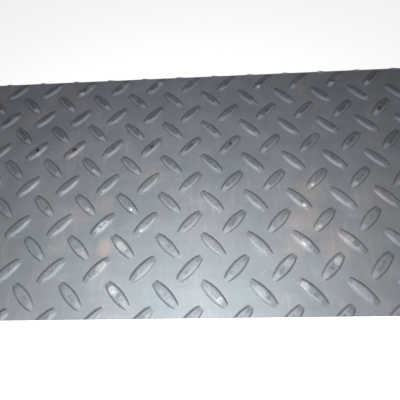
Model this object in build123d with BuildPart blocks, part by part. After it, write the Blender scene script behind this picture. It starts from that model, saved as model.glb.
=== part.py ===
"""Checker plate: a cut sheet of hot-rolled floor plate, in one piece with its raised, lens-shaped lugs.

Units are millimetres. X runs along the sheet, Y across it and Z up. The origin is the centre of the
flat underside, so the sheet lies on Z = 0 with the lugs on its upper face.
"""

import os
from math import ceil, sqrt

from build123d import *

# The sheet. The gauge is measured between the lugs.
sheet_length = 500.0
sheet_width = 250.0
gauge = 5.0

# The pattern. Lugs that lean the same way repeat at the pitch along X and along Y, and those that
# lean the other way stand in the middle of each square, so every lug points at its neighbours' sides.
pitch = 40.0
lug_lean = 45.0

# Where the sheet was cut out of the pattern: one falling lug's place, from the sheet's centre.
pattern_x = 18.0
pattern_y = 13.0

# One lug. Its length, width and blunt end are measured at the foot.
lug_length = 28.0
lug_width = 10.0
lug_end_width = 4.9
lug_height = 1.5

# The flank ends at the shoulder, and the gentler crown goes on from there to the flat top.
shoulder_height = 0.9
side_flank_run = 0.9
side_crown_run = 1.3

# The ends climb on longer slopes than the sides.
end_flank_run = 2.4
end_crown_run = 2.2

# Each outline of the lug: its height, and how far its sides and its ends are set in from the foot.
lug_outlines = (
    (0.0, 0.0, 0.0),
    (shoulder_height, side_flank_run, end_flank_run),
    (lug_height, side_flank_run + side_crown_run, end_flank_run + end_crown_run),
)


def foot_half_width(x):
    """Half the width of the lug's foot at x from its middle. Each side is one arc over the length."""
    rise = (lug_width - lug_end_width) / 2
    radius = ((lug_length / 2) ** 2 + rise**2) / (2 * rise)
    return lug_width / 2 - radius + sqrt(radius**2 - x**2)


def lug_places():
    """The place and the lean of every lug that can reach the sheet."""
    reach_x = (sheet_length + lug_length) / 2
    reach_y = (sheet_width + lug_length) / 2
    columns = ceil((reach_x + abs(pattern_x)) / pitch)
    rows = ceil((reach_y + abs(pattern_y)) / pitch)
    places = []
    for column in range(-columns, columns + 1):
        for row in range(-rows, rows + 1):
            for shift, lean in ((0.0, -lug_lean), (0.5, lug_lean)):
                x = pattern_x + (column + shift) * pitch
                y = pattern_y + (row + shift) * pitch
                if abs(x) < reach_x and abs(y) < reach_y:
                    places.append(Location((x, y, gauge), (0, 0, lean)))
    return places


# One lug along X, standing on Z = 0. Each outline is two arcs with a short straight line at each end.
with BuildPart() as lug:
    for height, side_run, end_run in lug_outlines:
        half_length = lug_length / 2 - end_run
        half_width = lug_width / 2 - side_run
        half_end = foot_half_width(half_length) - side_run
        with BuildSketch(Plane.XY.offset(height)):
            with BuildLine():
                Line((-half_length, -half_end), (-half_length, half_end))
                ThreePointArc((-half_length, half_end), (0, half_width), (half_length, half_end))
                Line((half_length, half_end), (half_length, -half_end))
                ThreePointArc((half_length, -half_end), (0, -half_width), (-half_length, -half_end))
            make_face()
    loft(ruled=True)

# The sheet with its lugs. Those on its edges are cut through, as the shears leave them.
with BuildPart() as checker_plate:
    with BuildSketch():
        Rectangle(sheet_length, sheet_width)
    extrude(amount=gauge)
    with Locations(*lug_places()):
        add(lug.part)
    with BuildSketch():
        Rectangle(sheet_length, sheet_width)
    extrude(amount=gauge + lug_height, mode=Mode.INTERSECT)

checker_plate.part.label = "checker_plate"

os.makedirs("parts", exist_ok=True)
export_step(checker_plate.part, "parts/checker_plate.step")
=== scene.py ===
import math

import bmesh
import bpy
import numpy as np
from mathutils import Euler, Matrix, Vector


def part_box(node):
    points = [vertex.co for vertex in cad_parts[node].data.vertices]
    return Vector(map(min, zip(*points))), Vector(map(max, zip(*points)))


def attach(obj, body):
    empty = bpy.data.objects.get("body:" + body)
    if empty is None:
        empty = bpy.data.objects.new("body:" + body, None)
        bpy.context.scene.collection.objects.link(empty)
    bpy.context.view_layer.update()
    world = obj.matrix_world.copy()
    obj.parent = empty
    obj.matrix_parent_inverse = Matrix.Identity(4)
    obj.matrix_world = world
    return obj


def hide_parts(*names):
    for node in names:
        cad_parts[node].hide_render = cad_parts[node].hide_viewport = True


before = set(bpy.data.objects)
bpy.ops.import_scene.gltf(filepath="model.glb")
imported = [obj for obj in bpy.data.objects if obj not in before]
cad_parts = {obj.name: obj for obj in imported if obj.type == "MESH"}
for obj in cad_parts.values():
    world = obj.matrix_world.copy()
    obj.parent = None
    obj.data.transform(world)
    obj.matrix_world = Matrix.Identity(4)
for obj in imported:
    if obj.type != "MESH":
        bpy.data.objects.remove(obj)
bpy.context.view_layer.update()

# The looks of a cut sheet of checker plate. Lengths are in metres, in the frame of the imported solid,
# apart from those that a comment gives in millimetres.
MM = 0.001
NODE = "checker_plate"
RANDOM_SEED = 7

# The sheet, from the frame: its corners, and the height of the plate between the lugs.
low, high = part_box(NODE)
LUG_HEIGHT = 1.5 * MM
PLATE_TOP = high.z - LUG_HEIGHT

# The rolled pattern, with the sizes of the solid.
PITCH = 40 * MM
LUG_LEAN = math.radians(45)
PATTERN_X = 18 * MM
PATTERN_Y = 13 * MM
LUG_LENGTH = 28.0 * MM
LUG_WIDTH = 10.0 * MM
LUG_END_WIDTH = 4.9 * MM
# A lug may come out lower than the full height, by chance, down to this share of it.
LOWEST_LUG = 0.96

# Each lug stands in a patch of mesh of its own. The patch is a square with bowed sides, so that it
# reaches past the lug's ends and fits the patches around it. Rings of points lead from its outline up
# to the lug's crest, and all of them have the same number of points.
PATCH_HALF = PITCH / math.sqrt(8)
PATCH_BOW = 4.5 * MM
PATCH_STEPS = 8
AROUND = 4 * PATCH_STEPS
END_STEPS = 4
SIDE_STEPS = AROUND // 2 - END_STEPS
# How far a lug's rings are turned, in points, so that the middles of its ends face those of the patch.
RING_TURN = (PATCH_STEPS - END_STEPS) // 2

# A lug's sides, in millimetres: a small fillet at the foot, a steep flank, and a crown that gets flatter
# to the crest. A fillet ring is a side inset, an end inset and a height. The shares say how far along
# the flank and the crown their rings lie.
FILLET_RINGS = ((-0.9, -0.9, 0.0), (-0.45, -0.45, 0.0), (-0.14, -0.2, 0.035))
FLANK_RUN = 0.5
FLANK_HEIGHT = 0.65
FLANK_SHARES = (0.12, 0.55, 1.0)
CROWN_RUN = 2.8
CROWN_SHARES = (0.12, 0.27, 0.45, 0.7, 1.0)
# Its ends climb on flat ramps, which round off into the crest.
RAMP_RUN = 4.3
RAMP_HEIGHT = 1.15
END_BULGE = 0.3 * MM
NARROWEST_END = 0.1 * MM

# Cuts inside the sheet's sides, in millimetres, which keep the plate flat up to its rim.
RIM_INSETS = (0.5, 1.2)

# The sheared edges, from the top down: how far each row of points is set in, in millimetres, and its
# share of the height.
EDGE_ROWS = ((0.22, 1.0), (0.0, 0.93), (0.0, 0.55), (0.06, 0.45), (0.12, 0.04), (0.2, 0.0))

# Points nearer than this are one: where patches meet, and where the sheet is cut.
PATCH_WELD = 0.02 * MM
CUT_WELD = 0.001 * MM


def foot_half_width(x):
    """Half the width of a lug's foot at x from its middle: each side is one arc over the length."""
    rise = (LUG_WIDTH - LUG_END_WIDTH) / 2
    radius = ((LUG_LENGTH / 2) ** 2 + rise**2) / (2 * rise)
    return LUG_WIDTH / 2 - radius + np.sqrt(radius**2 - x**2)


def four_sides(end_side, long_side):
    """A closed ring from one end and one long side, which the other two repeat turned half round."""
    half_ring = np.concatenate([end_side[:-1], long_side[:-1]])
    return np.concatenate([half_ring, -half_ring])


def patch_outline():
    """The edge of a patch, where the sides at the lug's ends bow out and the others bow in."""
    s = np.linspace(-1, 1, PATCH_STEPS + 1)
    bow = PATCH_BOW * (1 - s**2)
    end_side = np.column_stack([PATCH_HALF + bow, s * PATCH_HALF])
    long_side = np.column_stack([-s * PATCH_HALF, PATCH_HALF - bow])
    return four_sides(end_side, long_side)


def lug_outline(side_inset, end_inset):
    """A lug's outline set in from its foot, or out from it where the insets are negative."""
    half_length = LUG_LENGTH / 2 - end_inset
    half_end = max(foot_half_width(half_length) - side_inset, NARROWEST_END)
    s = np.linspace(-1, 1, END_STEPS + 1)
    end_side = np.column_stack([half_length - END_BULGE * s**2, s * half_end])
    x = -np.linspace(-1, 1, SIDE_STEPS + 1) * (half_length - END_BULGE)
    long_side = np.column_stack([x, foot_half_width(x) - side_inset])
    long_side[0] = end_side[-1]
    return np.roll(four_sides(end_side, long_side), RING_TURN, axis=0)


def lug_rings():
    """The rings of a lug from outside its foot up to its crest: side inset, end inset and height."""
    top = LUG_HEIGHT / MM
    rise = top - RAMP_HEIGHT
    rounding = 2 * rise * RAMP_RUN / RAMP_HEIGHT
    sides = [(FLANK_RUN * share, FLANK_HEIGHT * share) for share in FLANK_SHARES]
    for share in CROWN_SHARES:
        height = FLANK_HEIGHT + (top - FLANK_HEIGHT) * (1 - (1 - share) ** 2)
        sides.append((FLANK_RUN + CROWN_RUN * share, height))
    rings = list(FILLET_RINGS)
    for side, height in sides:
        if height < RAMP_HEIGHT:
            end = RAMP_RUN * height / RAMP_HEIGHT
        else:
            end = RAMP_RUN + rounding * (1 - math.sqrt(max(1 - (height - RAMP_HEIGHT) / rise, 0)))
        rings.append((side, end, height))
    return rings


def crest_number(row, column):
    """The place in its ring of a point on the crest's rim, by its row along and its column across."""
    if column == 0:
        k = END_STEPS + row
    elif column == END_STEPS:
        k = 2 * END_STEPS + 2 * SIDE_STEPS - row
    elif row == 0:
        k = END_STEPS - column
    else:
        k = END_STEPS + SIDE_STEPS + column
    return (k + RING_TURN) % AROUND


def patch_points():
    """The points of one patch along X, with the height of each: its rings, then the grid of its crest."""
    rings = [patch_outline()] + [lug_outline(side * MM, end * MM) for side, end, _ in lug_rings()]
    heights = [0.0] + [height * MM for _, _, height in lug_rings()]
    points = [np.column_stack([ring, np.full(len(ring), z)]) for ring, z in zip(rings, heights)]
    crest = points[-1]
    inner = []
    for row in range(1, SIDE_STEPS):
        # A row of the crest runs across the lug, from one long side to the other.
        far, near = crest[crest_number(row, 0)], crest[crest_number(row, END_STEPS)]
        for column in range(1, END_STEPS):
            share = column / END_STEPS
            inner.append(far * (1 - share) + near * share)
    return np.concatenate(points + [np.array(inner)])


def patch_faces():
    """The faces of one patch, as lists of point numbers."""
    ring_count = len(lug_rings()) + 1
    faces = []
    for ring in range(ring_count - 1):
        outer, inner = ring * AROUND, (ring + 1) * AROUND
        for i in range(AROUND):
            j = (i + 1) % AROUND
            faces.append((outer + i, outer + j, inner + j, inner + i))

    def crest_point(row, column):
        """The number of the crest's point in a row along the lug and a column across it."""
        if column in (0, END_STEPS) or row in (0, SIDE_STEPS):
            return (ring_count - 1) * AROUND + crest_number(row, column)
        return ring_count * AROUND + (row - 1) * (END_STEPS - 1) + column - 1

    for row in range(SIDE_STEPS):
        for column in range(END_STEPS):
            corners = ((row, column), (row + 1, column), (row + 1, column + 1), (row, column + 1))
            faces.append(tuple(crest_point(*corner) for corner in corners))
    return faces


def lug_places():
    """Place and lean of every lug whose patch reaches the sheet."""
    reach_x = high.x + PITCH / 2
    reach_y = high.y + PITCH / 2
    columns = math.ceil(reach_x / PITCH) + 1
    rows = math.ceil(reach_y / PITCH) + 1
    places = []
    for column in range(-columns, columns + 1):
        for row in range(-rows, rows + 1):
            for shift, lean in ((0.0, -LUG_LEAN), (0.5, LUG_LEAN)):
                x = PATTERN_X + (column + shift) * PITCH
                y = PATTERN_Y + (row + shift) * PITCH
                if abs(x) < reach_x and abs(y) < reach_y:
                    places.append((x, y, lean))
    return places


# Marks on single lugs, as the photograph shows them. A lug is named by its column and row in the
# pattern, counted from the near left of the view. A glint is a painted highlight, with a strength and a
# middle. A pale or dark stain has a strength, a middle and a reach from there. Middles and reaches are
# in millimetres, from the lug's middle towards its front end.
FIRST_LUG = Vector((-142.0, -107.0)) * MM
VIEW_COLUMNS = (-1, 8.5)
VIEW_ROWS = (0, 5)
GLINTS = {
    (1, 2): (0.46, 5.6), (2, 2): (0.95, 6.6), (6, 2): (1.0, 7.6), (6.5, 2.5): (0.5, 7.3),
    (7.5, 2.5): (0.32, 7.8), (6.5, 1.5): (0.36, 7.0), (1, 3): (0.38, 5.8), (1.5, 2.5): (0.24, 7.5),
    (7, 2): (0.25, 8.0), (7, 3): (0.28, 8.0), (2.5, 1.5): (0.28, 7.4), (2.5, 2.5): (0.15, 8.0),
    (6, 3): (0.18, 8.0), (6, 1): (0.42, 0.0),
}
PALE_STAINS = {
    (1.5, 1.5): (1.0, 1.5, 9.0), (1, 1): (0.5, 5.0, 5.0), (2, 1): (0.8, 0.0, 6.5),
    (6, 1): (1.0, 0.5, 5.0), (7, 1): (0.7, -3.5, 5.5), (1.5, 0.5): (0.7, -4.5, 6.0),
    (6.5, 0.5): (0.9, -6.0, 5.0), (2, 0): (1.0, -5.0, 5.0), (6, 0): (0.85, -7.5, 4.6),
    (5, 0): (0.32, -2.0, 7.0), (7, 0): (0.3, -3.0, 9.0), (4, 0): (0.7, 7.0, 3.0),
    (5.5, 0.5): (0.45, -5.0, 6.0), (2.5, 1.5): (0.3, 4.0, 5.0), (2.5, 0.5): (0.2, 0.0, 9.0),
}
DARK_STAINS = {
    (-0.5, 3.5): (1.0, -1.0, 1.6), (0.5, 3.5): (1.0, 0.0, 2.6), (1.5, 3.5): (0.5, 0.0, 2.4),
    (2.5, 3.5): (0.86, -0.8, 1.5), (3.5, 3.5): (0.8, 0.5, 5.0), (4.5, 3.5): (0.83, -0.8, 2.0),
    (7.5, 3.5): (0.6, 0.0, 4.0), (5.5, 4.5): (0.6, -1.0, 5.0), (8.5, 4.5): (0.8, 3.5, 3.4),
    (7.5, 4.5): (0.6, 2.0, 5.0), (3, 3): (0.5, -3.0, 5.0), (4, 3): (0.6, -4.0, 6.0),
    (4.5, 1.5): (0.6, 0.0, 5.5), (-1, 4): (0.7, -4.0, 5.0), (7, 3): (0.6, -2.0, 5.0),
    (7, 1): (0.7, 3.0, 3.4), (0, 2): (0.5, 4.0, 1.6), (5, 0): (0.5, 4.5, 3.0),
    (6.5, 0.5): (0.5, 3.0, 3.0), (1, 1): (0.4, 5.5, 2.0), (1.5, 0.5): (0.5, 6.5, 1.6),
    (2, 0): (0.6, 1.0, 2.6), (0, 0): (0.3, 3.0, 6.0), (1, 0): (0.25, 3.5, 6.0),
    (5.5, 0.5): (0.35, 5.0, 2.4), (1, 3): (0.35, 5.0, 4.0), (1.5, 1.5): (0.5, 3.5, 2.4),
    (7.5, 0.5): (0.3, 0.0, 8.0), (3.5, 4.5): (0.5, -4.0, 5.0), (6, 0): (0.4, 3.0, 3.0),
}

# Marks that aren't listed come by chance. Most are faint, because their strengths are raised to a
# power, and those in the photograph's view stay fainter than the rest.
CHANCE_POWER = 3
CHANCE_IN_VIEW = 0.2
CHANCE_OUTSIDE = 0.8
CHANCE_MIDDLES = (-7, 7)
CHANCE_REACHES = (2, 7)
GLINT_MIDDLE = 8.0
ATTRIBUTES = ("lug_place", "lug_glint", "lug_pale", "lug_dark")


def lug_marks(x, y, lean, rng):
    """A lug's glint and lean, pale stain and dark stain: the rows of its three mark attributes."""
    column, row = (Vector((x, y)) - FIRST_LUG) / PITCH
    name = (round(column * 2) / 2, round(row * 2) / 2)
    in_view = VIEW_COLUMNS[0] <= name[0] <= VIEW_COLUMNS[1] and VIEW_ROWS[0] <= name[1] <= VIEW_ROWS[1]
    strengths = rng.uniform(0, 1, 3) ** CHANCE_POWER * (CHANCE_IN_VIEW if in_view else CHANCE_OUTSIDE)
    middles, reaches = rng.uniform(*CHANCE_MIDDLES, 2), rng.uniform(*CHANCE_REACHES, 2)
    glint, glint_middle = GLINTS.get(name, (strengths[0], GLINT_MIDDLE))
    return [
        (glint, float(lean > 0), glint_middle),
        PALE_STAINS.get(name, (strengths[1], middles[0], reaches[0])),
        DARK_STAINS.get(name, (strengths[2], middles[1], reaches[1])),
    ]


def rolled_mesh():
    """The lugged face as patches side by side, which reach past the sheet, with their marks."""
    rng = np.random.default_rng(RANDOM_SEED)
    points, faces = patch_points(), patch_faces()
    corners = np.concatenate([list(face) for face in faces])
    all_points, all_faces = [], []
    all_rows = {name: [] for name in ATTRIBUTES}
    for x, y, lean in lug_places():
        c, s = math.cos(lean), math.sin(lean)
        placed = points.copy()
        placed[:, 0] = x + c * points[:, 0] - s * points[:, 1]
        placed[:, 1] = y + s * points[:, 0] + c * points[:, 1]
        placed[:, 2] = PLATE_TOP + points[:, 2] * rng.uniform(LOWEST_LUG, 1.0)
        base = len(all_points) * len(points)
        all_faces += [tuple(base + k for k in face) for face in faces]
        all_points.append(placed)
        # A point's place on its lug, in millimetres: towards the front end, and towards the near side.
        front = 1 if lean < 0 else -1
        number = np.full(len(corners), rng.uniform())
        own_place = np.column_stack([points[corners, 0] * front / MM, -points[corners, 1] / MM, number])
        marks = [np.tile(mark, (len(corners), 1)) for mark in lug_marks(x, y, lean, rng)]
        for name, rows in zip(ATTRIBUTES, [own_place, *marks]):
            all_rows[name].append(rows)
    mesh = bpy.data.meshes.new(NODE + "_rolled")
    mesh.from_pydata(np.concatenate(all_points).tolist(), [], all_faces)
    for name, rows in all_rows.items():
        values = mesh.attributes.new(name, "FLOAT_VECTOR", "CORNER")
        values.data.foreach_set("vector", np.concatenate(rows).astype(np.float32).ravel())
    return mesh


def cut_to_sheet(bm):
    """Cuts off what lies outside the sheet, and cuts lines along the inside of its four sides."""
    for corner, outward in ((low, (-1, 0, 0)), (low, (0, -1, 0)), (high, (1, 0, 0)), (high, (0, 1, 0))):
        outward = Vector(outward)
        for inset in (0.0, *RIM_INSETS):
            bmesh.ops.bisect_plane(
                bm,
                geom=bm.verts[:] + bm.edges[:] + bm.faces[:],
                plane_co=corner - outward * inset * MM,
                plane_no=outward,
                clear_outer=not inset,
                dist=CUT_WELD,
            )


def draw_in_rim(bm):
    """Draws the band beside the sheet's sides in evenly, so that no face there folds over."""
    share = EDGE_ROWS[0][0] / RIM_INSETS[0]
    for vert in bm.verts:
        for axis in (0, 1):
            room = RIM_INSETS[0] * MM - min(vert.co[axis] - low[axis], high[axis] - vert.co[axis])
            if room > 0:
                vert.co[axis] += math.copysign(room * share, -vert.co[axis])


def row_below(bm, edges, tops):
    """A new row of points under the last: its edges, and the place on the rim that each hangs from."""
    made = bmesh.ops.extrude_edge_only(bm, edges=edges)["geom"]
    new_edges = [item for item in made if isinstance(item, bmesh.types.BMEdge) and item.is_boundary]
    new_tops = {}
    for vert in (item for item in made if isinstance(item, bmesh.types.BMVert)):
        above = [edge.other_vert(vert) for edge in vert.link_edges if edge.other_vert(vert) in tops]
        new_tops[vert] = tops[min(above, key=lambda other: (other.co - vert.co).length)]
    return new_edges, new_tops


def add_edges(bm):
    """Sheared edges down to the floor, and the flat underside."""
    edges = [edge for edge in bm.edges if edge.is_boundary]
    tops = {vert: vert.co.copy() for edge in edges for vert in edge.verts}
    draw_in_rim(bm)
    for number, (inset, share) in enumerate(EDGE_ROWS):
        if number:
            edges, tops = row_below(bm, edges, tops)
        for vert, top in tops.items():
            vert.co.x = min(max(top.x, low.x + inset * MM), high.x - inset * MM)
            vert.co.y = min(max(top.y, low.y + inset * MM), high.y - inset * MM)
            vert.co.z = top.z * share
    bmesh.ops.edgeloop_fill(bm, edges=edges)


def plate_mesh():
    """The whole sheet: its lugged face, its sheared edges and its underside."""
    rolled = rolled_mesh()
    bm = bmesh.new()
    bm.from_mesh(rolled)
    bpy.data.meshes.remove(rolled)
    bmesh.ops.remove_doubles(bm, verts=bm.verts, dist=PATCH_WELD)
    cut_to_sheet(bm)
    for face in bm.faces:
        face.smooth = True
    add_edges(bm)
    bmesh.ops.remove_doubles(bm, verts=bm.verts, dist=CUT_WELD)
    bmesh.ops.recalc_face_normals(bm, faces=bm.faces)
    mesh = bpy.data.meshes.new(NODE + "_steel")
    bm.to_mesh(mesh)
    bm.free()
    return mesh


steel_object = bpy.data.objects.new("steel_plate", plate_mesh())
bpy.context.scene.collection.objects.link(steel_object)


# A mix node's inputs, by number: its share, and the two numbers or the two colours that it mixes. A
# mixed number is its first output, and a mixed colour its third.
MIX_SHARE = 0
MIX_NUMBERS = (2, 3)
MIX_COLOURS = (6, 7)
MIX_NUMBER_RESULT = 0
MIX_COLOUR_RESULT = 2


class Nodes:
    """Short calls that add nodes to a material and link them."""

    def __init__(self, material):
        material.use_nodes = True
        self.tree = material.node_tree
        self.shader = self.tree.nodes["Principled BSDF"]

    def put(self, socket, value):
        """Link a value that is a socket, or set one that is a number, a vector or a colour."""
        if isinstance(value, bpy.types.NodeSocket):
            self.tree.links.new(value, socket)
        else:
            socket.default_value = value

    def add(self, kind, inputs, **settings):
        """A new node with settings of its own, and with values in its inputs by name or number."""
        node = self.tree.nodes.new("ShaderNode" + kind)
        for name, setting in settings.items():
            setattr(node, name, setting)
        for key, value in inputs.items():
            self.put(node.inputs[key], value)
        return node

    def parts(self, vector):
        """The three numbers of a vector."""
        return self.add("SeparateXYZ", {0: vector}).outputs

    def attribute(self, name):
        """The three numbers that the mesh keeps under a name."""
        return self.parts(self.add("Attribute", {}, attribute_name=name).outputs["Vector"])

    def math(self, operation, first, second=0.0, third=0.0):
        """A sum or other operation on one, two or three numbers."""
        return self.add("Math", {0: first, 1: second, 2: third}, operation=operation).outputs[0]

    def product(self, *values):
        """All its values multiplied."""
        result = values[0]
        for value in values[1:]:
            result = self.math("MULTIPLY", result, value)
        return result

    def most(self, *values):
        """The largest of its values."""
        result = values[0]
        for value in values[1:]:
            result = self.math("MAXIMUM", result, value)
        return result

    def swing(self, value, reach, middle=0.0):
        """A value from 0 to 1 as one from a reach below a middle to a reach above it."""
        return self.math("MULTIPLY_ADD", value, 2 * reach, middle - reach)

    def step(self, value, start, end, low=0.0, high=1.0):
        """A smooth step from low to high while the value goes from start to end."""
        if start > end:
            start, end, low, high = end, start, high, low
        inputs = {"Value": value, "From Min": start, "From Max": end, "To Min": low, "To Max": high}
        return self.add("MapRange", inputs, interpolation_type="SMOOTHSTEP").outputs[0]

    def steps(self, *pairs):
        """Several steps multiplied, each given as a value and the numbers of its step."""
        return self.product(*(self.step(value, *numbers) for value, numbers in pairs))

    def band(self, value, start, full, fade, end):
        """1 where the value is between full and fade, and 0 below start and above end."""
        return self.product(self.step(value, start, full), self.step(value, end, fade))

    def noise(self, vector, size, detail=3.0, roughness=0.5, distortion=0.0, stretch=(1, 1, 1), shift=0.0):
        """Noise with features of a size in millimetres, which stretch makes longer along an axis."""
        scale = tuple(1 / (size * MM * share) for share in stretch)
        mapping = self.add("Mapping", {"Vector": vector, "Scale": scale, "Location": (shift, shift, shift)})
        inputs = {"Vector": mapping.outputs[0], "Scale": 1.0, "Detail": detail}
        inputs.update({"Roughness": roughness, "Distortion": distortion})
        return self.add("TexNoise", inputs).outputs[0]

    def spot(self, x, y, place, radius):
        """1 in the middle of an oval round a place and 0 outside it. All in the units of x and y."""
        across = self.math("DIVIDE", self.math("SUBTRACT", x, place[0]), radius[0])
        along = self.math("DIVIDE", self.math("SUBTRACT", y, place[1]), radius[1])
        square = self.math("ADD", self.product(across, across), self.product(along, along))
        return self.step(square, 1.0, 0.0)

    def blend(self, share, first, second):
        """A number between two others by a share."""
        inputs = dict(zip(MIX_NUMBERS, (first, second)))
        return self.add("Mix", {MIX_SHARE: share, **inputs}).outputs[MIX_NUMBER_RESULT]

    def mix(self, share, first, second, blend="MIX"):
        """A colour between two others by a share."""
        values = [(*value, 1) if isinstance(value, tuple) else value for value in (first, second)]
        inputs = {MIX_SHARE: share, **dict(zip(MIX_COLOURS, values))}
        return self.add("Mix", inputs, data_type="RGBA", blend_type=blend).outputs[MIX_COLOUR_RESULT]

    def shaded(self, share, colour, shade):
        """A colour multiplied by a shade, by a share."""
        return self.mix(share, colour, shade, "MULTIPLY")

    def toned(self, share, colour, value, depth):
        """A colour made lighter and darker by a noise, by at most a depth."""
        return self.shaded(share, colour, self.swing(value, depth, 1.0))


# The noises of the steel, with the size of their features in millimetres.
NOISES = {
    "clouds": {"size": 55.0, "distortion": 0.4},
    "wisps": {"size": 26.0, "detail": 2.0, "roughness": 0.45, "distortion": 1.6, "shift": 19.0},
    "patches": {"size": 24.0, "detail": 4.0, "roughness": 0.6, "shift": 7.0},
    "flakes": {"size": 9.0, "detail": 6.0, "roughness": 0.7, "distortion": 0.5, "shift": 17.0},
    "streaks": {"size": 6.0, "stretch": (14.0, 1.0, 1.0), "shift": 2.0},
    "smears": {"size": 3.0, "stretch": (1.0, 7.0, 1.0), "shift": 5.0},
    "blots": {"size": 2.6, "detail": 4.0, "roughness": 0.65, "distortion": 0.8, "shift": 11.0},
    "mottling": {"size": 2.0, "roughness": 0.7, "shift": 23.0},
    "ragged": {"size": 1.6, "detail": 2.0, "shift": 3.0},
    "specks": {"size": 0.9, "roughness": 0.6, "shift": 13.0},
    "grain": {"size": 0.7, "roughness": 0.7},
    "chatter": {"size": 0.55, "stretch": (1.0, 1.0, 12.0)},
}
NOISE_MIDDLE = 0.5

# The masks of the steel. A name with BY in it holds the numbers of a step: the values where it starts
# and ends and, unless they are 0 and 1, the numbers that it goes from and to. A BAND holds where it
# starts, is full, fades and ends. Distances on a lug are in millimetres.

# A point's side of the sheet, in metres, and its side of its lug.
BACKWARDS_BY_Y = (-0.09, 0.09)
RIGHTWARDS_BY_X = (-0.12, 0.12)
NEAR_BY_ACROSS = (-1.0, 1.0)
# Which way a face looks, by the height of its normal.
TOP_BY_FACING = (0.3, 0.6)
SHEARED_BY_FACING = (0.7, 0.35)
UNDER_BY_FACING = (-0.3, -0.6)
# How far noise bends the places of painted warm reflections, in pitches.
PATTERN_BEND = 0.25

# The painted shade round a lug's foot, and where it is left out on the near side that the light strikes.
FOOT_BAND = (-0.3, 0.2, 0.9, 1.75)
FOOT_BY_END = (-0.4, 0.8)
FOOT_BY_BACKWARDS = (0.0, 1.0, 0.86, 1.0)
FOOT_BY_RISING_STRUCK = (0.0, 1.0, 0.86, 1.0)
FOOT_BY_RAGGED = (0.2, 0.6, 0.7, 1.0)
LIT_NEAR_BY_STRUCK = (0.1, 0.9, 0.1, 0.85)
LIT_NEAR_BY_BACKWARDS = (0.0, 1.0, 1.0, 0.6)
LIT_NEAR_RISING = 0.5
# Painted shade over a lug's far flank and on its back end, and a painted shadow outside the far foot.
FAR_FLANK_SHADE_BAND = (0.2, 0.8, 2.2, 3.4)
FAR_FLANK_SHADE_BY_ACROSS = (-0.6, -1.6)
FAR_FLANK_SHADE_BY_END = (0.5, 2.0)
FAR_FLANK_SHADE_STRENGTH = 0.36
BACK_END_BAND = (-0.2, 0.3, 2.0, 4.6)
BACK_END_BY_SIDE = (-0.2, 0.4)
BACK_END_BY_STRUCK = (0.0, 1.0, 1.0, 0.5)
BACK_END_BY_BACKWARDS = (0.0, 1.0, 0.29, 0.46)
OUTER_SPREAD = 0.25
OUTER_BY_SPREAD_SIDE = (-1.1, -0.3)
OUTER_BY_SIDE = (0.9, 0.2)
OUTER_BY_ACROSS = (-1.5, -3.0)
OUTER_BY_END = (0.5, 3.0)
OUTER_BY_STRUCK = (0.0, 1.0, 0.34, 0.75)

# The crest, which is worn and carries painted shade, and the ramp that climbs to it from the front end,
# with painted light and shade. The climb is shorter on some lugs.
SHORTER_STRUCK = 0.8
SHORTER_RISING = 0.7
CREST_RAGGED = 0.4
CREST_IN_BY_STRUCK = (0.0, 1.0, 0.4, 0.75)
CREST_BY_RIM = (2.3, 3.0)
CREST_BY_CLIMB = (6.3, 6.9)
CREST_BY_TAIL = (0.8, 3.5)
RAMP_BY_CLIMB = (7.0, 6.0)
RAMP_BY_LEAD = (-0.3, 0.5)
RAMP_BY_SIDE = (0.1, 0.8)
# The back corners of the view, in metres, where the ramps carry the most painted light.
CORNER_BY_X = (0.03, 0.18)
CORNER_BY_Y = (0.03, 0.1)

# The painted highlight on the near shoulder of the lugs at the back, and of the rising ones at the left.
SHOULDER_BAND = (0.4, 0.9, 3.1, 3.8)
SHOULDER_BY_LEAD = (4.0, 7.0)
SHOULDER_BY_STRUCK = (0.0, 1.0, 0.35, 1.0)
FLASHED_BAND = (0.2, 0.8, 2.4, 3.2)
FLASHED_BY_END = (1.0, 4.0)
FLASHED_BY_COLUMN = (1.3, -0.3)

# The stains on the crests: how far noise pushes their outlines, where they can lie, and their shape.
STAIN_PUSH_ALONG = 3.0
STAIN_PUSH_ACROSS = 1.5
BODY_BY_SIDE = (0.7, 1.6)
BODY_BY_END = (1.5, 3.5)
PALE_ACROSS = 0.3
PALE_HALF_WIDTH = 3.6
PALE_BY_SPOT = (0.0, 0.5)
PALE_BY_BLOTS = (0.44, 0.54, 0.38, 1.0)
PALE_BY_RAGGED = (0.52, 0.6)
PALE_BY_SPECKS = (0.64, 0.56, 0.48, 1.0)
PALE_STRENGTH = 0.74
DARK_ACROSS = -0.5
DARK_HALF_WIDTH = 2.6
DARK_BY_SPOT = (0.0, 0.55)
DARK_BY_BLOTS = (0.56, 0.44)
DARK_BY_RAGGED = (0.50, 0.40)
DARK_BY_SMUDGES = (0.0, 1.0, 0.25, 1.0)
DARK_STRENGTH = 0.85
# The strongest dark stains have a black core, and a glint is a painted highlight on a small bead.
CORE_PUSH_ALONG = 4.0
CORE_PUSH_ACROSS = 2.0
CORE_ACROSS = -0.4
CORE_RADIUS = (2.9, 1.8)
CORE_BY_STRENGTH = (0.75, 0.9)
CORE_BY_SPOT = (0.0, 0.8)
BEAD_ACROSS = 0.8
BEAD_RADIUS = (2.7, 2.1)
SHINE_BY_GLINT = (0.1, 0.6)
SHINE_BY_BEAD = (0.05, 0.4)

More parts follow.
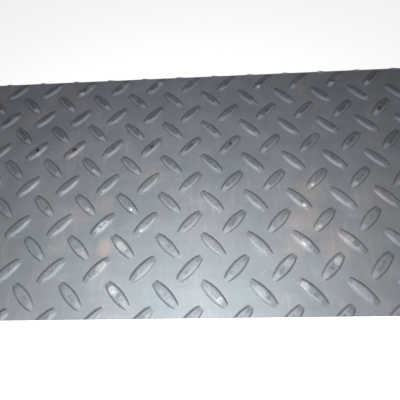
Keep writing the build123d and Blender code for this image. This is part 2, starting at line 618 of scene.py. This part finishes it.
# The colours of the plate, what lies on it, and how much each noise lightens and darkens it.
STEEL = (0.42, 0.455, 0.505)
STEEL_COOL = (0.385, 0.43, 0.49)
STEEL_VIOLET = (0.44, 0.435, 0.49)
# The colour of the painted warm reflections.
STEEL_WARM = (0.61, 0.545, 0.525)
STEEL_RUBBED = (0.66, 0.70, 0.75)
FRONT_TINT = (0.985, 1.0, 0.965)
BACK_TINT = (1.0, 0.985, 1.0)
EVENNESS = 0.5
VIOLET_BY_CLOUDS = (0.35, 0.65)
WARM_BY_SMEARS = (0.25, 0.6, 0.6, 1.0)
WISPS_BY_OFFSET = (0.012, 0.0)
WISPS_BY_PATCHES = (0.4, 0.62)
WISPS_STRENGTH = 0.35
RUBS_BY_SMEARS = (0.56, 0.78)
RUBS_BY_CLOUDS = (0.45, 0.6)
RUBS_STRENGTH = 0.3
PLATE_TONES = {"clouds": 0.10, "patches": 0.16, "streaks": 0.08, "smears": 0.05, "grain": 0.10}

# Painted warm reflections on the plate, by column and row in the pattern: place, reach along X and Y,
# strength.
WARM_REFLECTIONS = (
    ((1.60, 0.98), (0.36, 0.20), 1.0),
    ((1.45, 2.02), (0.30, 0.34), 0.5),
    ((0.95, 1.72), (0.34, 0.44), 0.38),
    ((0.55, 1.02), (0.30, 0.24), 0.3),
    ((6.05, 1.55), (0.55, 0.50), 0.65),
    ((6.62, 0.95), (0.45, 0.55), 0.6),
    ((5.72, 0.98), (0.32, 0.34), 0.5),
    ((6.35, 2.25), (0.55, 0.42), 0.55),
    ((7.6, 2.0), (0.60, 0.34), 0.3),
    ((2.6, 2.6), (0.50, 0.30), 0.25),
    ((0.5, 3.45), (0.30, 0.28), 0.35),
)

# The painted light and shade of the lugs, which the plate's colour is multiplied by, and the colours of
# their marks, of which the glint's is a painted highlight.
FOOT_SHADE = (0.42, 0.42, 0.44)
FLASHED_PAINTED_LIGHT = (1.2, 1.2, 1.2)
SHOULDER_PAINTED_LIGHT = (1.32, 1.31, 1.26)
RAMP_FRONT_SHADE = (0.95, 0.95, 0.95)
RAMP_BACK_SHADE = (1.10, 1.10, 1.10)
RAMP_CORNER_SHADE = (1.36, 1.36, 1.36)
CREST_FRONT_SHADE = (0.985, 0.975, 0.98)
CREST_RISING_SHADE = (0.90, 0.885, 0.885)
CREST_BACK_SHADE = (0.60, 0.585, 0.62)
CREST_STRUCK_SHADE = (0.735, 0.71, 0.755)
CREST_STRUCK_RISING_SHADE = (0.605, 0.60, 0.64)
NO_TINT = (1.0, 1.0, 1.0)
CREST_LEFT_TINT = (0.965, 1.0, 1.0)
CREST_RIGHT_TINT = (1.01, 1.0, 1.025)
# How strongly the painted shade falls on each crest, by the lug's chance number.
CREST_SHADE_BY_LUG = (0.75, 1.05)
CREST_TONES = {"blots": 0.24, "specks": 0.2}
CREST_BY_MOTTLING = (0.36, 0.64, 0.85, 1.15)
MOTTLE_BY_BLOTS = (0.50, 0.62)
MOTTLE_BY_RAGGED = (0.35, 0.6)
MOTTLE_STRENGTH = 0.5
PALE_STAIN = (0.84, 0.83, 0.825)
DARK_STAIN = (0.115, 0.085, 0.093)
DARK_CORE = (0.025, 0.02, 0.022)
PAINTED_GLINT_COLOUR = (0.95, 0.95, 0.95)

# The sheen of the steel, and of what lies on it.
STEEL_ROUGHNESS = 0.66
STEEL_METALLIC = 0.45
ROUGHNESS_SWING = 0.08
CREST_ROUGHNESS = 0.72
SHOULDER_ROUGHNESS = 0.54
SHOULDER_METALLIC = 0.55
STAIN_ROUGHNESS = 0.6
STAIN_METALLIC = 0.15
GLINT_ROUGHNESS = 0.36
GLINT_METALLIC = 0.4

# The sheared sides: a burnished band over a torn one, in pairs of a darker and a lighter colour.
BURNISHED_RAGGED = 0.08
BURNISHED_BY_HEIGHT = (0.5, 0.6)
SIDE_BY_NOISE = (0.35, 0.65)
BURNISHED = ((0.46, 0.47, 0.49), (0.60, 0.61, 0.63))
TORN = ((0.20, 0.19, 0.19), (0.34, 0.33, 0.33))
TORN_RUST = (0.27, 0.17, 0.11)
TORN_RUST_BY_PATCHES = (0.52, 0.72, 0.0, 0.7)
BURNISHED_ROUGHNESS = 0.42
TORN_ROUGHNESS = 0.85

# The underside: mill scale, roll streaks and rust blooms.
SCALE = ((0.17, 0.18, 0.20), (0.27, 0.28, 0.30))
SCALE_BY_FLAKES = (0.42, 0.58)
SCALE_STREAK = (0.38, 0.39, 0.41)
SCALE_BY_STREAKS = (0.55, 0.75, 0.0, 0.6)
BLOOM = (0.26, 0.13, 0.07)
BLOOM_BY_PATCHES = (0.60, 0.70)
BLOOM_BY_SPECKS = (0.35, 0.6)
SCALE_ROUGHNESS = 0.55
BLOOM_ROUGHNESS = 0.9

# The depths of the relief, in millimetres.
GRAIN_DEPTH = 0.03
PATCHES_DEPTH = 0.12
CHATTER_DEPTH = 0.12
STAIN_DEPTH = 0.12
BEAD_DEPTH = 0.5


class Point:
    """What the steel's layers ask of a point: its place on the sheet and on its lug, and its noises."""

    def __init__(self, nodes):
        coordinates = nodes.add("TexCoord", {})
        here = coordinates.outputs["Object"]
        self.x, self.y, self.z = nodes.parts(here)
        self.facing = nodes.parts(coordinates.outputs["Normal"])[2]
        self.noise = {name: nodes.noise(here, **settings) for name, settings in NOISES.items()}
        self.top = nodes.step(self.facing, *TOP_BY_FACING)
        self.backwards = nodes.step(self.y, *BACKWARDS_BY_Y)
        self.rightwards = nodes.step(self.x, *RIGHTWARDS_BY_X)

        # The column and row in the pattern, bent by noise.
        bend = nodes.swing(self.noise["patches"], PATTERN_BEND)
        column = nodes.math("MULTIPLY_ADD", self.x, 1 / PITCH, -FIRST_LUG.x / PITCH)
        row = nodes.math("MULTIPLY_ADD", self.y, 1 / PITCH, -FIRST_LUG.y / PITCH)
        self.column = nodes.math("ADD", column, bend)
        self.row = nodes.math("SUBTRACT", row, bend)

        # The place on the lug, towards its front end and its near side, and the lug's marks.
        place, glint, self.pale, self.dark = [nodes.attribute(name) for name in ATTRIBUTES]
        self.along, self.across, self.number = place
        self.glint, self.rising, self.glint_middle = glint
        self.near = nodes.step(self.across, *NEAR_BY_ACROSS)
        # A lug is struck where the light comes at its long side: at the left if it rises to the right,
        # and at the right if it falls.
        self.struck = nodes.math("ABSOLUTE", nodes.math("SUBTRACT", self.rightwards, self.rising))

        # How far the point is in from the foot's sides, its nearer end, its front end and its back end.
        half_length = LUG_LENGTH / 2 / MM
        half_width = LUG_WIDTH / 2 / MM
        half_end_width = LUG_END_WIDTH / 2 / MM
        narrowing = nodes.product(self.along, self.along, (half_width - half_end_width) / half_length**2)
        side = nodes.math("SUBTRACT", half_width, nodes.math("ABSOLUTE", self.across))
        self.side = nodes.math("SUBTRACT", side, narrowing)
        self.end = nodes.math("SUBTRACT", half_length, nodes.math("ABSOLUTE", self.along))
        self.lead = nodes.math("SUBTRACT", half_length, self.along)
        self.tail = nodes.math("ADD", half_length, self.along)
        self.climb = nodes.math("MULTIPLY_ADD", self.struck, SHORTER_STRUCK, self.lead)

        # For stains: the place pushed about by noise, and the part of the lug that they keep to.
        push_along = nodes.swing(self.noise["blots"], STAIN_PUSH_ALONG)
        push_across = nodes.swing(self.noise["ragged"], STAIN_PUSH_ACROSS)
        self.pushed_along = nodes.math("ADD", self.along, push_along)
        self.pushed_across = nodes.math("ADD", self.across, push_across)
        self.body = nodes.steps((self.side, BODY_BY_SIDE), (self.end, BODY_BY_END))


def foot_mask(nodes, point):
    """Painted shade round a lug's foot, over its far flank and back end, and a painted shadow beside it."""
    # The painted shade at the foot is left out on the near side where the light strikes.
    lit_near = nodes.steps((point.struck, LIT_NEAR_BY_STRUCK), (point.backwards, LIT_NEAR_BY_BACKWARDS))
    lit_near = nodes.most(lit_near, nodes.product(point.rising, point.backwards, LIT_NEAR_RISING))
    unlit = nodes.math("SUBTRACT", 1.0, nodes.product(point.near, lit_near))
    line = nodes.steps(
        (point.end, FOOT_BY_END),
        (point.backwards, FOOT_BY_BACKWARDS),
        (nodes.product(point.struck, point.rising), FOOT_BY_RISING_STRUCK),
    )
    line = nodes.product(nodes.band(point.side, *FOOT_BAND), unlit, line)

    # Painted shade over the far flank of the lugs at the back.
    far_flank_shade = nodes.steps((point.across, FAR_FLANK_SHADE_BY_ACROSS), (point.end, FAR_FLANK_SHADE_BY_END))
    far_flank_shade = nodes.product(nodes.band(point.side, *FAR_FLANK_SHADE_BAND), far_flank_shade, point.backwards, FAR_FLANK_SHADE_STRENGTH)

    back_end = nodes.steps(
        (point.side, BACK_END_BY_SIDE),
        (point.struck, BACK_END_BY_STRUCK),
        (point.backwards, BACK_END_BY_BACKWARDS),
    )
    back_end = nodes.product(nodes.band(point.tail, *BACK_END_BAND), back_end)

    # A painted shadow on the plate outside the far foot of the rising lugs.
    outer = nodes.steps(
        (nodes.math("MULTIPLY_ADD", point.struck, OUTER_SPREAD, point.side), OUTER_BY_SPREAD_SIDE),
        (point.side, OUTER_BY_SIDE),
        (point.across, OUTER_BY_ACROSS),
        (point.end, OUTER_BY_END),
        (point.struck, OUTER_BY_STRUCK),
    )
    outer = nodes.product(outer, point.rising)

    darkest = nodes.most(line, far_flank_shade, back_end, outer)
    return nodes.product(darkest, point.top, nodes.step(point.noise["ragged"], *FOOT_BY_RAGGED))


def crest_mask(nodes, point):
    """A lug's crest, which is worn and carries painted shade, with a ragged rim further in on the near side.
    """
    rim = nodes.math("ADD", point.side, nodes.swing(point.noise["ragged"], CREST_RAGGED))
    inwards = nodes.product(point.near, nodes.step(point.struck, *CREST_IN_BY_STRUCK))
    rim = nodes.math("SUBTRACT", rim, inwards)
    mask = nodes.steps((rim, CREST_BY_RIM), (point.climb, CREST_BY_CLIMB), (point.tail, CREST_BY_TAIL))
    return nodes.product(mask, point.top)


def ramp_mask(nodes, point):
    """The ramp at a lug's front end, which carries painted light and shade."""
    climb = nodes.math("MULTIPLY_ADD", point.rising, SHORTER_RISING, point.climb)
    mask = nodes.steps((climb, RAMP_BY_CLIMB), (point.lead, RAMP_BY_LEAD), (point.side, RAMP_BY_SIDE))
    return nodes.product(mask, point.top)


def shoulder_mask(nodes, point):
    """The near shoulder of the lugs in the back half, behind their ramps: painted highlight and glossier
    sheen.
    """
    mask = nodes.steps((point.lead, SHOULDER_BY_LEAD), (point.struck, SHOULDER_BY_STRUCK))
    mask = nodes.product(nodes.band(point.side, *SHOULDER_BAND), mask)
    return nodes.product(mask, point.near, point.backwards, point.top)


def flashed_mask(nodes, point):
    """The painted highlight on the near shoulder of the rising lugs at the left."""
    mask = nodes.steps((point.end, FLASHED_BY_END), (point.column, FLASHED_BY_COLUMN))
    mask = nodes.product(nodes.band(point.side, *FLASHED_BAND), mask)
    return nodes.product(mask, point.near, point.rising, point.top)


def pale_mask(nodes, point):
    """A lug's pale stain, with holes."""
    strength, middle, reach = point.pale
    place = (middle, PALE_ACROSS)
    radius = (reach, PALE_HALF_WIDTH)
    spot = nodes.spot(point.pushed_along, point.pushed_across, place, radius)
    blots = nodes.step(point.noise["blots"], *PALE_BY_BLOTS)
    ragged = nodes.step(point.noise["ragged"], *PALE_BY_RAGGED)
    mask = nodes.steps((spot, PALE_BY_SPOT), (point.noise["specks"], PALE_BY_SPECKS))
    return nodes.product(strength, point.body, mask, nodes.most(blots, ragged))


def dark_mask(nodes, point):
    """A lug's dark stain, in smudges."""
    strength, middle, reach = point.dark
    place = (middle, DARK_ACROSS)
    radius = (reach, DARK_HALF_WIDTH)
    spot = nodes.spot(point.pushed_along, point.pushed_across, place, radius)
    blots = nodes.step(point.noise["blots"], *DARK_BY_BLOTS)
    ragged = nodes.step(point.noise["ragged"], *DARK_BY_RAGGED)
    mask = nodes.steps((spot, DARK_BY_SPOT), (nodes.most(blots, ragged), DARK_BY_SMUDGES))
    return nodes.product(strength, point.body, mask)


def core_mask(nodes, point):
    """The black core of the strongest dark stains."""
    strength, middle, _ = point.dark
    along = nodes.math("ADD", point.along, nodes.swing(point.noise["ragged"], CORE_PUSH_ALONG))
    across = nodes.math("ADD", point.across, nodes.swing(point.noise["blots"], CORE_PUSH_ACROSS))
    spot = nodes.spot(along, across, (middle, CORE_ACROSS), CORE_RADIUS)
    return nodes.steps((strength, CORE_BY_STRENGTH), (spot, CORE_BY_SPOT))


def plate_colour(nodes, point):
    """The mill finish: cool and violet clouds, painted warm reflections, wisps, rubs, rolling streaks and
    grain.
    """
    noise = point.noise
    colour = nodes.mix(nodes.step(noise["clouds"], *VIOLET_BY_CLOUDS), STEEL_COOL, STEEL_VIOLET)
    colour = nodes.mix(EVENNESS, colour, STEEL)
    colour = nodes.shaded(1.0, colour, nodes.mix(point.backwards, FRONT_TINT, BACK_TINT))
    # Painted warm reflections, in patches broken up by smears.
    spots = []
    for place, reach, strength in WARM_REFLECTIONS:
        spots.append(nodes.product(nodes.spot(point.column, point.row, place, reach), strength))
    warm = nodes.product(nodes.most(*spots), nodes.step(noise["smears"], *WARM_BY_SMEARS), point.top)
    colour = nodes.mix(warm, colour, STEEL_WARM)
    # A wisp is a thin line along which its noise has its middle value.
    offset = nodes.math("ABSOLUTE", nodes.math("SUBTRACT", noise["wisps"], NOISE_MIDDLE))
    wisps = nodes.steps((offset, WISPS_BY_OFFSET), (noise["patches"], WISPS_BY_PATCHES))
    rubs = nodes.steps((noise["smears"], RUBS_BY_SMEARS), (noise["clouds"], RUBS_BY_CLOUDS))
    worn = nodes.most(nodes.product(wisps, WISPS_STRENGTH), nodes.product(rubs, RUBS_STRENGTH))
    colour = nodes.mix(nodes.product(worn, point.top), colour, STEEL_RUBBED)
    for name, depth in PLATE_TONES.items():
        colour = nodes.toned(1.0, colour, noise[name], depth)
    return colour


def ramp_shade(nodes, point):
    """Painted light and shade on the front ramps: darker at the front, lightest in the view's back corners.
    """
    corner = nodes.steps((nodes.math("ABSOLUTE", point.x), CORNER_BY_X), (point.y, CORNER_BY_Y))
    back_shade = nodes.mix(corner, RAMP_BACK_SHADE, RAMP_CORNER_SHADE)
    return nodes.mix(point.backwards, RAMP_FRONT_SHADE, back_shade)


def crest_colour(nodes, point, colour, crest):
    """A colour with painted shade over the crests, darkest at the back of the view, then worn and mottled.
    """
    front = nodes.mix(point.rising, CREST_FRONT_SHADE, CREST_RISING_SHADE)
    struck = nodes.mix(point.rising, CREST_STRUCK_SHADE, CREST_STRUCK_RISING_SHADE)
    shade = nodes.mix(point.backwards, front, nodes.mix(point.struck, CREST_BACK_SHADE, struck))
    left_tint = nodes.mix(point.backwards, NO_TINT, CREST_LEFT_TINT)
    shade = nodes.shaded(1.0, shade, nodes.mix(point.rightwards, left_tint, CREST_RIGHT_TINT))
    shade_share = nodes.product(crest, nodes.blend(point.number, *CREST_SHADE_BY_LUG))
    colour = nodes.shaded(shade_share, colour, shade)
    for name, depth in CREST_TONES.items():
        colour = nodes.toned(crest, colour, point.noise[name], depth)
    colour = nodes.shaded(crest, colour, nodes.step(point.noise["mottling"], *CREST_BY_MOTTLING))
    mottle = nodes.steps((point.noise["blots"], MOTTLE_BY_BLOTS), (point.noise["ragged"], MOTTLE_BY_RAGGED))
    mottle = nodes.product(crest, point.backwards, mottle, MOTTLE_STRENGTH)
    return nodes.mix(mottle, colour, DARK_STAIN)


def sheared_side(nodes, point):
    """The colour and roughness of the sheared sides."""
    height = nodes.math("DIVIDE", point.z, PLATE_TOP)
    height = nodes.math("ADD", height, nodes.swing(point.noise["ragged"], BURNISHED_RAGGED))
    upper = nodes.step(height, *BURNISHED_BY_HEIGHT)
    burnished = nodes.mix(nodes.step(point.noise["chatter"], *SIDE_BY_NOISE), *BURNISHED)
    torn = nodes.mix(nodes.step(point.noise["grain"], *SIDE_BY_NOISE), *TORN)
    torn = nodes.mix(nodes.step(point.noise["patches"], *TORN_RUST_BY_PATCHES), torn, TORN_RUST)
    colour = nodes.mix(upper, torn, burnished)
    return colour, nodes.blend(upper, TORN_ROUGHNESS, BURNISHED_ROUGHNESS)


def underside(nodes, point):
    """The colour and roughness of the underside, which keeps more of its mill scale."""
    colour = nodes.mix(nodes.step(point.noise["flakes"], *SCALE_BY_FLAKES), *SCALE)
    colour = nodes.mix(nodes.step(point.noise["streaks"], *SCALE_BY_STREAKS), colour, SCALE_STREAK)
    bloom = nodes.steps((point.noise["patches"], BLOOM_BY_PATCHES), (point.noise["specks"], BLOOM_BY_SPECKS))
    colour = nodes.mix(bloom, colour, BLOOM)
    return colour, nodes.blend(bloom, SCALE_ROUGHNESS, BLOOM_ROUGHNESS)


def steel_material():
    """Hot-rolled steel: a mill finish, worn and stained lugs with painted light and shade, sheared sides and
    a scaly underside.
    """
    material = bpy.data.materials.new("mill_finish_steel")
    nodes = Nodes(material)
    point = Point(nodes)
    crest, shoulder = crest_mask(nodes, point), shoulder_mask(nodes, point)
    pale, dark = pale_mask(nodes, point), dark_mask(nodes, point)
    stains = nodes.most(pale, dark)
    bead = nodes.spot(point.along, point.across, (point.glint_middle, BEAD_ACROSS), BEAD_RADIUS)
    shine = nodes.steps((point.glint, SHINE_BY_GLINT), (bead, SHINE_BY_BEAD))
    sheared = nodes.step(nodes.math("ABSOLUTE", point.facing), *SHEARED_BY_FACING)
    under = nodes.step(point.facing, *UNDER_BY_FACING)
    side_colour, side_roughness = sheared_side(nodes, point)
    under_colour, under_roughness = underside(nodes, point)

    colour = plate_colour(nodes, point)
    # Painted highlights and shade on the lugs: lit shoulders, shade round the feet, lit and shaded ramps,
    # shaded crests.
    colour = nodes.shaded(flashed_mask(nodes, point), colour, FLASHED_PAINTED_LIGHT)
    colour = nodes.shaded(shoulder, colour, SHOULDER_PAINTED_LIGHT)
    colour = nodes.shaded(foot_mask(nodes, point), colour, FOOT_SHADE)
    colour = nodes.shaded(ramp_mask(nodes, point), colour, ramp_shade(nodes, point))
    colour = crest_colour(nodes, point, colour, crest)
    colour = nodes.mix(nodes.product(pale, PALE_STRENGTH), colour, PALE_STAIN)
    colour = nodes.mix(nodes.product(dark, DARK_STRENGTH), colour, DARK_STAIN)
    colour = nodes.mix(nodes.product(core_mask(nodes, point), DARK_STRENGTH), colour, DARK_CORE)
    # The glints are painted highlights, in a near-white colour.
    colour = nodes.mix(shine, colour, PAINTED_GLINT_COLOUR)
    colour = nodes.mix(sheared, colour, side_colour)
    colour = nodes.mix(under, colour, under_colour)

    roughness = nodes.swing(point.noise["patches"], ROUGHNESS_SWING, STEEL_ROUGHNESS)
    for mask, value in (
        (crest, CREST_ROUGHNESS),
        (shoulder, SHOULDER_ROUGHNESS),
        (stains, STAIN_ROUGHNESS),
        (shine, GLINT_ROUGHNESS),
        (sheared, side_roughness),
        (under, under_roughness),
    ):
        roughness = nodes.blend(mask, roughness, value)

    metallic = STEEL_METALLIC
    for mask, value in ((shoulder, SHOULDER_METALLIC), (stains, STAIN_METALLIC), (shine, GLINT_METALLIC)):
        metallic = nodes.blend(mask, metallic, value)

    relief = nodes.product(point.noise["grain"], GRAIN_DEPTH)
    for values in (
        (point.noise["patches"], PATCHES_DEPTH),
        (sheared, point.noise["chatter"], CHATTER_DEPTH),
        (stains, point.noise["specks"], STAIN_DEPTH),
        (bead, point.glint, BEAD_DEPTH),
    ):
        relief = nodes.math("ADD", relief, nodes.product(*values))
    bump = nodes.add("Bump", {"Distance": MM, "Height": relief})

    nodes.put(nodes.shader.inputs["Base Color"], colour)
    nodes.put(nodes.shader.inputs["Roughness"], roughness)
    nodes.put(nodes.shader.inputs["Metallic"], metallic)
    nodes.put(nodes.shader.inputs["Normal"], bump.outputs[0])
    return material


steel_object.data.materials.append(steel_material())
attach(steel_object, "root")
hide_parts(NODE)

# The floor, with the light that it seems to give off to the camera and in reflections.
FLOOR_REACH = 6.0
FLOOR_COLOUR = (0.85, 0.85, 0.85, 1)
FLOOR_ROUGHNESS = 0.9
FLOOR_GLOW_COLOUR = (1, 1, 1, 1)
FLOOR_GLOW = 0.76


def floor():
    """A wide pale floor under the sheet. It looks white, and keeps the sheet's shadow."""
    mesh = bpy.data.meshes.new("floor")
    corners = [(x * FLOOR_REACH, y * FLOOR_REACH, 0) for x, y in ((-1, -1), (1, -1), (1, 1), (-1, 1))]
    mesh.from_pydata(corners, [], [(0, 1, 2, 3)])
    material = bpy.data.materials.new("pale_floor")
    nodes = Nodes(material)
    ray = nodes.add("LightPath", {}).outputs
    seen = nodes.most(ray["Is Camera Ray"], ray["Is Glossy Ray"], ray["Is Transmission Ray"])
    nodes.put(nodes.shader.inputs["Base Color"], FLOOR_COLOUR)
    nodes.put(nodes.shader.inputs["Roughness"], FLOOR_ROUGHNESS)
    nodes.put(nodes.shader.inputs["Emission Color"], FLOOR_GLOW_COLOUR)
    nodes.put(nodes.shader.inputs["Emission Strength"], nodes.product(seen, FLOOR_GLOW))
    mesh.materials.append(material)
    item = bpy.data.objects.new("floor", mesh)
    bpy.context.scene.collection.objects.link(item)


floor()

# The studio: pale walls around, up to a height, and a dim ceiling over them. Heights are those of the
# direction looked in, from 0 level to 1 straight up.
WALL_SHADE = 0.23
CEILING_SHADE = 0.06
WALL_TOP = 0.18
CEILING_START = 0.42


def studio_world():
    """Pale walls near the horizon and a dim ceiling, the same for every ray."""
    world = bpy.data.worlds.new("studio")
    bpy.context.scene.world = world
    world.use_nodes = True
    nodes, links = world.node_tree.nodes, world.node_tree.links
    direction = nodes.new("ShaderNodeTexCoord")
    parts = nodes.new("ShaderNodeSeparateXYZ")
    fade = nodes.new("ShaderNodeMapRange")
    fade.interpolation_type = "SMOOTHSTEP"
    fade.inputs["From Min"].default_value = WALL_TOP
    fade.inputs["From Max"].default_value = CEILING_START
    fade.inputs["To Min"].default_value = WALL_SHADE
    fade.inputs["To Max"].default_value = CEILING_SHADE
    links.new(direction.outputs["Generated"], parts.inputs["Vector"])
    links.new(parts.outputs["Z"], fade.inputs["Value"])
    links.new(fade.outputs["Result"], nodes["Background"].inputs["Color"])


studio_world()

# The one light, a round soft one beside the camera that faces straight down, as a flash with a diffuser.
KEY_PLACE = Vector((-10.0, -167.0, 275.0)) * MM
KEY_SIZE = 0.16
KEY_POWER = 0.985


def softbox(name, place, size, strength):
    """A round soft light at a place, facing straight down."""
    light = bpy.data.lights.new(name, "AREA")
    light.shape = "DISK"
    light.size = size
    light.energy = strength
    item = bpy.data.objects.new(name, light)
    item.location = place
    item.visible_camera = False
    bpy.context.scene.collection.objects.link(item)


softbox("key", KEY_PLACE, KEY_SIZE, KEY_POWER)

# The camera, as fitted to the pattern in the photograph. Its lens and sensor are in millimetres.
CAMERA_PLACE = Vector((23.8, -122.6, 269.0)) * MM
CAMERA_TURN = Euler((0.4432, 0.0403, -0.0314), "ZYX")
CAMERA_LENS = 27.0
CAMERA_SENSOR = 36.0
CAMERA_SHIFT = (-0.0126, -0.068)
CAMERA_CLIP_START = 0.01


def set_camera():
    """The camera of the photograph, as the scene's camera."""
    data = bpy.data.cameras.new("camera")
    data.lens = CAMERA_LENS
    data.sensor_width = CAMERA_SENSOR
    data.shift_x, data.shift_y = CAMERA_SHIFT
    data.clip_start = CAMERA_CLIP_START
    camera = bpy.data.objects.new("camera", data)
    camera.rotation_mode = CAMERA_TURN.order
    camera.rotation_euler = CAMERA_TURN
    camera.location = CAMERA_PLACE
    bpy.context.scene.collection.objects.link(camera)
    bpy.context.scene.camera = camera


set_camera()

bpy.context.scene.view_settings.view_transform = "Standard"
